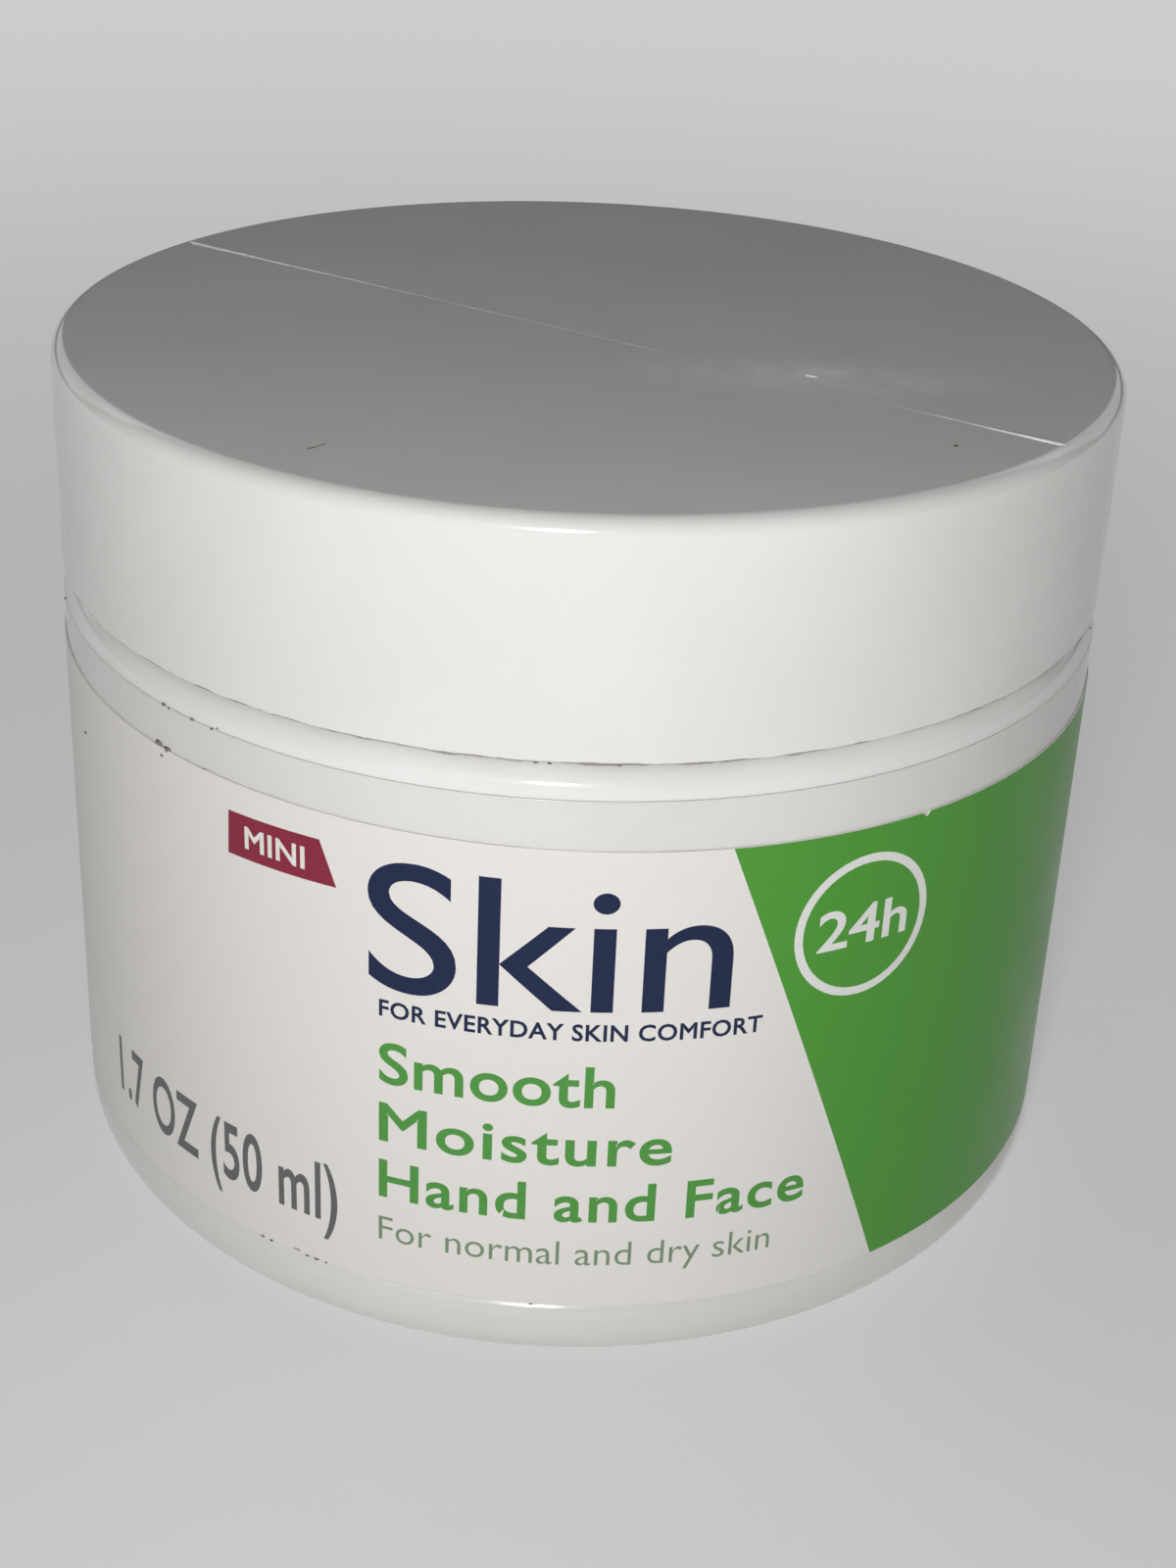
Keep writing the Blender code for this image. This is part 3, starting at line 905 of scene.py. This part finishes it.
def build_jar_specks(material):
    """Dirt caught in the seam under the lid, on the shoulder and along the label's top edge."""
    random = np.random.default_rng(23)
    # degrees round from the front, height above the base and width in millimetres
    seen = [
        (-31.1, 38.15, 0.42), (-3.5, 38.14, 0.26), (-2.2, 38.14, 0.2), (4.5, 38.14, 0.18),
        (-44.8, 36.62, 0.32), (-44.0, 36.55, 0.16), (-40.4, 36.6, 0.3), (-37.6, 36.57, 0.22),
        (-36.9, 36.7, 0.14), (-45.9, 34.12, 0.7), (-44.4, 33.98, 0.8), (-45.2, 33.55, 0.26),
        (-38.9, 33.95, 0.4), (-64.0, 30.6, 0.3), (-32.4, 5.1, 0.3), (-31.2, 5.08, 0.22),
        (-26.6, 5.06, 0.26), (-25.4, 5.05, 0.34), (-24.3, 5.03, 0.2), (-2.0, 4.9, 0.2),
    ]
    others = []
    for _ in range(12):
        degrees, height = random.uniform(60, 300), random.uniform(36.5, 38.2)
        others.append((degrees, height, random.uniform(0.12, 0.3)))
    shape = bmesh.new()
    for degrees, height, width in seen + others:
        radius, lean = jar_surface(height * MM)
        around = Matrix.Rotation(math.radians(degrees), 3, "Z")
        turn = around @ Matrix.Rotation(-lean, 3, "X")
        size = Vector((width, 0.1 + 0.15 * width, width * random.uniform(0.35, 0.6))) * MM
        add_speck(shape, random, around @ Vector((0, -radius, height * MM)), turn, size)
    finish_specks("jar_dirt_specks", shape, material, "jar")


def build_lid_marks(dark, pale, smudge):
    """Marks on the lid's top: a short dark fibre, a dot, and a raised nib beside the line."""
    random = np.random.default_rng(29)
    flat = Matrix.Rotation(math.radians(90), 3, "X")
    top = lid_high.z / MM
    fibre = bmesh.new()
    for step in range(5):
        along = (step - 2) * 0.17
        place = Vector((-13.5 + along, -22.4 + 1.1 * along + 0.8 * along ** 2, top)) * MM
        turn = Matrix.Rotation(math.radians(48 + 70 * along), 3, "Z")
        add_speck(fibre, random, place, turn, Vector((0.30, 0.09, 0.06)) * MM)
    add_speck(fibre, random, Vector((19.1, -18.0, top)) * MM, flat, Vector((0.28, 0.06, 0.3)) * MM)
    finish_specks("lid_fibre", fibre, dark, "lid")
    nib = bmesh.new()
    turn = Matrix.Rotation(math.radians(-12), 3, "Z")
    add_speck(nib, random, smudge, turn, Vector((0.8, 0.3, 0.14)) * MM)
    finish_specks("lid_nib", nib, pale, "lid")


# ---------------------------------------------------------------- stage

CAMERA_BACK = 4.4154  # all in body radii, from the jar's axis and base
CAMERA_UP = 2.9748
CAMERA_PITCH = -0.4763
CAMERA_YAW = 0.0075
CAMERA_ROLL = 0.0458
CAMERA_LENS = 55.35


def place_camera():
    """The photograph's viewpoint."""
    forward = Vector((
        math.sin(CAMERA_YAW) * math.cos(CAMERA_PITCH),
        math.cos(CAMERA_YAW) * math.cos(CAMERA_PITCH),
        math.sin(CAMERA_PITCH),
    ))
    right = forward.cross(Vector((0, 0, 1))).normalized()
    up = right.cross(forward)
    leant_right = math.cos(CAMERA_ROLL) * right + math.sin(CAMERA_ROLL) * up
    leant_up = math.cos(CAMERA_ROLL) * up - math.sin(CAMERA_ROLL) * right
    data = bpy.data.cameras.new("camera")
    data.sensor_fit = "AUTO"
    data.sensor_width = 36.0
    data.lens = CAMERA_LENS
    data.clip_start = 0.005
    camera = bpy.data.objects.new("camera", data)
    radius = label_high.x
    place = Matrix((leant_right, leant_up, -forward)).transposed().to_4x4()
    place.translation = Vector((0, -CAMERA_BACK, CAMERA_UP)) * radius
    camera.matrix_world = place
    bpy.context.scene.collection.objects.link(camera)
    bpy.context.scene.camera = camera


def area_light(name, place, aim, size, watts, color=(1, 1, 1)):
    data = bpy.data.lights.new(name, "AREA")
    data.shape = "RECTANGLE"
    data.size, data.size_y = size
    data.energy = watts
    data.color = color
    light = bpy.data.objects.new(name, data)
    light.location = place
    light.rotation_euler = (Vector(aim) - Vector(place)).to_track_quat("-Z", "Y").to_euler()
    light.visible_camera = False
    bpy.context.scene.collection.objects.link(light)


BACKDROP_GLOW = 0.60  # how bright the backdrop looks
FLOOR_FADE_START = 0.05  # metres from the axis where the floor starts to merge into the backdrop
FLOOR_FADE_END = 0.40
FLOOR_GLOW_SHARE = 0.55  # of the backdrop's tone in the floor at the jar


def pale_floor():
    """A matt pale floor, which turns into the backdrop's even tone far from the jar."""
    material, tree, shader = new_material("pale_floor")
    cloud = remap(tree, noise(tree, 0.01, 3), 0.3, 0.7, 0.0, 1.0)
    tint = blend_colors(tree, cloud, (0.91, 0.91, 0.90), (0.88, 0.88, 0.87))
    tree.links.new(tint, shader.inputs["Base Color"])
    shader.inputs["Roughness"].default_value = 0.65
    far = tree.nodes.new("ShaderNodeEmission")
    far.inputs["Strength"].default_value = BACKDROP_GLOW
    fade = remap(
        tree, from_axis(tree), FLOOR_FADE_START / MM, FLOOR_FADE_END / MM, FLOOR_GLOW_SHARE, 1.0)
    merge = tree.nodes.new("ShaderNodeMixShader")
    tree.links.new(fade, merge.inputs["Fac"])
    tree.links.new(shader.outputs["BSDF"], merge.inputs[1])
    tree.links.new(far.outputs["Emission"], merge.inputs[2])
    tree.links.new(merge.outputs["Shader"], tree.nodes["Material Output"].inputs["Surface"])
    return material


def build_stage():
    half = 3.0
    corners = [(-half, -half, 0), (half, -half, 0), (half, half, 0), (-half, half, 0)]
    mesh = bpy.data.meshes.new("floor")
    mesh.from_pydata(corners, [], [(0, 1, 2, 3)])
    mesh.materials.append(pale_floor())
    floor = bpy.data.objects.new("floor", mesh)
    bpy.context.scene.collection.objects.link(floor)
    floor.location.z = -0.00005

    build_world(lighting=0.07, seen=BACKDROP_GLOW)
    bpy.context.scene.view_settings.view_transform = "Standard"

    middle = (0, 0, 0.028)
    area_light("key_near", (-0.010, -0.150, 0.092), middle, (0.014, 0.014), 0.130)
    area_light("front_soft", (-0.30, -0.80, 0.40), middle, (0.5, 0.4), 0.4)
    area_light("floor_soft", (0.0, 0.45, 0.42), (0.0, 0.62, 0.0), (1.2, 0.3), 0.7)
    for side in (-1, 1):
        area_light("back_soft", (0.55 * side, 0.70, 0.38), middle, (0.5, 0.5), 0.6)
        area_light("side_soft", (0.9 * side, 0.15, 0.45), middle, (0.6, 0.6), 0.25)


def build_world(lighting, seen):
    """A plain backdrop: seen is how bright it looks, and lighting how much light it gives."""
    world = bpy.data.worlds.new("studio")
    world.use_nodes = True
    tree = world.node_tree
    glow = tree.nodes["Background"]
    glow.inputs["Color"].default_value = (0.95, 0.97, 1.0, 1.0)
    glow.inputs["Strength"].default_value = lighting
    wall = tree.nodes.new("ShaderNodeBackground")
    wall.inputs["Color"].default_value = (1.0, 1.0, 1.0, 1.0)
    wall.inputs["Strength"].default_value = seen
    choose = tree.nodes.new("ShaderNodeMixShader")
    rays = tree.nodes.new("ShaderNodeLightPath")
    tree.links.new(rays.outputs["Is Camera Ray"], choose.inputs["Fac"])
    tree.links.new(glow.outputs["Background"], choose.inputs[1])
    tree.links.new(wall.outputs["Background"], choose.inputs[2])
    tree.links.new(choose.outputs["Shader"], tree.nodes["World Output"].inputs["Surface"])
    bpy.context.scene.world = world


# ---------------------------------------------------------------- build

smudge = Vector((0.40 * body_radius, -0.235 * body_radius, lid_high.z))
lid_plastic = white_plastic(
    "lid_plastic", (0.80, 0.79, 0.768), (0.77, 0.76, 0.735), 0.13,
    # painted shade with some grime: a dark line along the lid's lower edge, for the shade in the
    # seam beneath it
    shade_and_grime=[(up_axis, lid_low.z - 0.05 * MM, lid_low.z + 0.05 * MM, 0.05 * MM, 0.85)],
    smudges=[(smudge, 7 * MM)],
)
shell_plastic = white_plastic(
    "shell_plastic", (0.75, 0.74, 0.72), (0.72, 0.71, 0.685), 0.14,
    shade_and_grime=[
        # painted shade with some grime: a dark line under the label's lower edge, where the film's
        # edge shades the shell; the second band only darkens the shell a little along the label's
        # top edge
        (along_label, label_low.z - 0.05 * MM, label_low.z + 0.4 * MM, 0.06 * MM, 0.7),
        (along_label, label_high.z - 0.4 * MM, label_high.z + 0.02 * MM, 0.05 * MM, 0.15),
    ],
)
cup_plastic = white_plastic(
    "cup_plastic", (0.85, 0.84, 0.82), (0.82, 0.81, 0.785), 0.10,
    # painted shade: a dark ring on the shoulder just inside the lid's lower edge, where the seam's
    # shade falls
    shade_and_grime=[(from_axis, body_radius - 1.3 * MM, body_radius - 1.04 * MM, 0.09 * MM, 0.7)],
)
cap_plastic = white_plastic("cap_plastic", (0.78, 0.78, 0.76), (0.74, 0.74, 0.72), 0.38)
inks = [
    film_ink("label_paper", (0.80, 0.775, 0.74), (0.77, 0.745, 0.71), 0.34),
    film_ink("ink_green", (0.078, 0.32, 0.038), (0.083, 0.328, 0.043), 0.30),
    film_ink("ink_navy", (0.010, 0.019, 0.064), (0.014, 0.024, 0.07), 0.30),
    film_ink("ink_maroon", (0.25, 0.018, 0.05), (0.27, 0.03, 0.06), 0.32),
    film_ink("ink_leaf", (0.075, 0.30, 0.05), (0.10, 0.33, 0.075), 0.34),
    film_ink("ink_pale_leaf", (0.19, 0.27, 0.17), (0.22, 0.30, 0.20), 0.34),
    film_ink("ink_grey", (0.12, 0.12, 0.12), (0.155, 0.155, 0.155), 0.34),
    film_ink("ink_white", (0.80, 0.80, 0.77), (0.74, 0.76, 0.71), 0.34),
]
dirt = crumb_dirt()

build_shell(shell_plastic)
build_cup(cup_plastic)
build_balm(balm_wax())
build_label(inks)
build_lid(lid_plastic)
build_inner_cap(cap_plastic)
build_wad(foam())
build_lid_line(clear_edge())
build_jar_specks(dirt)
build_lid_marks(dirt, lid_plastic, smudge)
build_stage()
place_camera()
